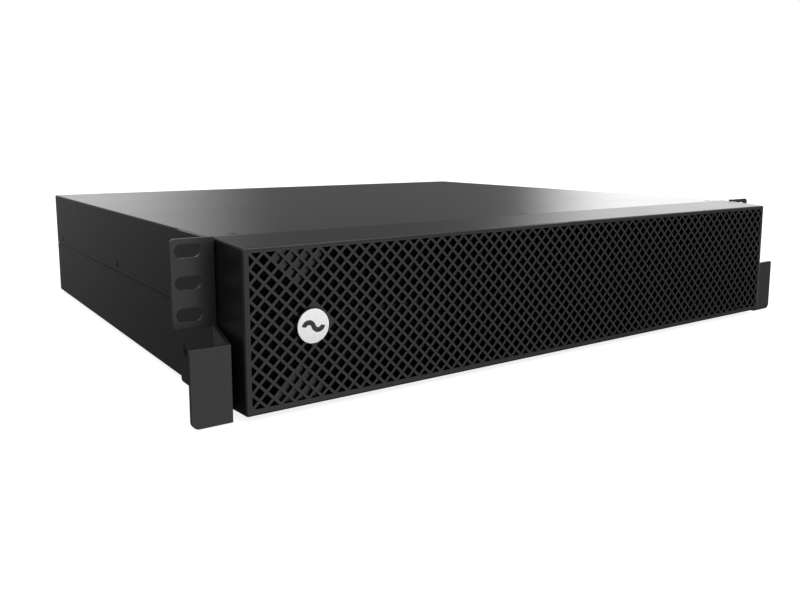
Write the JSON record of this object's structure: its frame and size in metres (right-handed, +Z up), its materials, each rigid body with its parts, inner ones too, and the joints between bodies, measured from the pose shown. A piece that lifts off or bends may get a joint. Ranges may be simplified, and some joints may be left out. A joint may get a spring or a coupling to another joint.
{
  "type": "uninterruptible power supply",
  "caption": "Rack-mount uninterruptible power supply in a low steel case, with a diamond-lattice front bezel, slotted ears, pull handles and a slide-out battery tray.",
  "frame": {"origin": "middle of the bounding box in X and Y, at the surface the feet stand on", "axes": "+Z up, front towards -Y, +X to the right seen from the front"},
  "size_m": [0.484, 0.4195, 0.0886],
  "materials": {
    "powder_coat": "fine textured black powder coat",
    "bracket_coat": "satin black powder coat",
    "bezel_plastic": "matte black moulded plastic",
    "badge_face": "white insert with a dark rim",
    "zinc_steel": "zinc plated sheet",
    "black_screw": "black oxide",
    "steel_screw": "bright zinc",
    "rubber": "moulded rubber",
    "battery_case": "dark grey ABS case",
    "terminal_tin": "tinned brass",
    "red_lead": "red insulation",
    "connector_grey": "grey nylon",
    "nylon_white": "natural nylon",
    "circuit_board": "green solder mask",
    "aluminium": "extruded aluminium",
    "chip_black": "moulded package",
    "capacitor_sleeve": "shrink sleeve",
    "ferrite": "sintered ferrite",
    "copper_wire": "enamelled copper",
    "coil_tape": "yellow film tape",
    "relay_case": "blue relay case",
    "film_yellow": "yellow film capacitor",
    "fan_plastic": "black glass-filled plastic",
    "socket_plastic": "black thermoplastic",
    "button_red": "red button",
    "button_grey": "grey button",
    "port_metal": "nickel plated shell"
  },
  "bodies": {
    "chassis": {"base_tray": "powder_coat", "battery_socket": "connector_grey", "bay_partition": "zinc_steel", "bezel_studs": "steel_screw", "board_standoffs": "terminal_tin", "bracket_screws": "black_screw", "breaker_body": "socket_plastic", "bus_capacitors": "capacitor_sleeve", "card_slot_cover": "powder_coat", "charger_heat_sink": "aluminium", "choke_cores": "ferrite", "choke_windings": "copper_wire", "control_board": "circuit_board", "control_chips": "chip_black", "cover_screws": "black_screw", "data_ports": "port_metal", "fan_frames": "fan_plastic", "fan_guards": "steel_screw", "fan_screws": "black_screw", "filter_capacitors": "film_yellow", "front_panel": "powder_coat", "ground_stud": "steel_screw", "inlet_pins": "terminal_tin", "inverter_heat_sink": "aluminium", "left_rack_bracket": "bracket_coat", "main_board": "circuit_board", "mains_inlet": "socket_plastic", "outlet_sockets": "socket_plastic", "ports_board": "circuit_board", "power_transistors": "chip_black", "rear_panel": "powder_coat", "rear_panel_screws": "black_screw", "relays": "relay_case", "right_rack_bracket": "bracket_coat", "rubber_feet": "rubber", "service_plate": "powder_coat", "socket_leads": "red_lead", "switch_body": "socket_plastic", "top_cover": "powder_coat", "transformer_coil": "coil_tape", "transformer_core": "ferrite", "tray_runners": "nylon_white"},
    "battery_tray": {"battery_tray": "zinc_steel", "tray_handle": "steel_screw", "battery_blocks": "battery_case", "battery_terminals": "terminal_tin", "battery_links": "red_lead", "battery_leads": "red_lead", "battery_plug": "connector_grey"},
    "bezel": {"bezel_frame": "bezel_plastic", "bezel_grille": "bezel_plastic", "grille_blind_cells": "bezel_plastic"},
    "badge": {"badge": "badge_face", "badge_clip": "zinc_steel"},
    "left_thumbscrew": {"left_thumbscrew": "steel_screw"},
    "right_thumbscrew": {"right_thumbscrew": "steel_screw"},
    "left_fan": {"left_fan_rotor": "fan_plastic"},
    "right_fan": {"right_fan_rotor": "fan_plastic"},
    "power_button": {"power_button": "button_grey"},
    "breaker_button": {"breaker_button": "button_red"}
  },
  "joints": [
    {"name": "battery_tray_slide", "type": "slide", "parent": "chassis", "child": "battery_tray", "axis": [0, -1, 0], "range_m": [0, 0.33]},
    {"name": "bezel_slide", "type": "slide", "parent": "chassis", "child": "bezel", "axis": [0, -1, 0], "range_m": [0, 0.37]},
    {"name": "badge_turn", "type": "hinge", "parent": "bezel", "child": "badge", "pos_m": [-0.18075, -0.2085, 0.045], "axis": [0, -1, 0], "range_deg": [0, 90]},
    {"name": "left_thumbscrew_turn", "type": "hinge", "parent": "battery_tray", "child": "left_thumbscrew", "pos_m": [-0.2084, -0.1763, 0.0452], "axis": [0, -1, 0], "continuous": true},
    {"name": "right_thumbscrew_turn", "type": "hinge", "parent": "battery_tray", "child": "right_thumbscrew", "pos_m": [-0.033, -0.1763, 0.0452], "axis": [0, -1, 0], "continuous": true},
    {"name": "left_fan_spin", "type": "hinge", "parent": "chassis", "child": "left_fan", "pos_m": [0.108, 0.19, 0.04515], "axis": [0, 1, 0], "continuous": true},
    {"name": "right_fan_spin", "type": "hinge", "parent": "chassis", "child": "right_fan", "pos_m": [0.176, 0.19, 0.04515], "axis": [0, 1, 0], "continuous": true},
    {"name": "power_button_press", "type": "slide", "parent": "chassis", "child": "power_button", "axis": [0, -1, 0], "range_m": [0, 0.003], "stiffness_N_per_m": 500, "springref_m": -0.001},
    {"name": "breaker_button_trip", "type": "slide", "parent": "chassis", "child": "breaker_button", "axis": [0, 1, 0], "range_m": [0, 0.003]}
  ],
  "couplings": [
    {"joint": "bezel_slide", "follows": "battery_tray_slide", "ratio": 1.1}
  ]
}
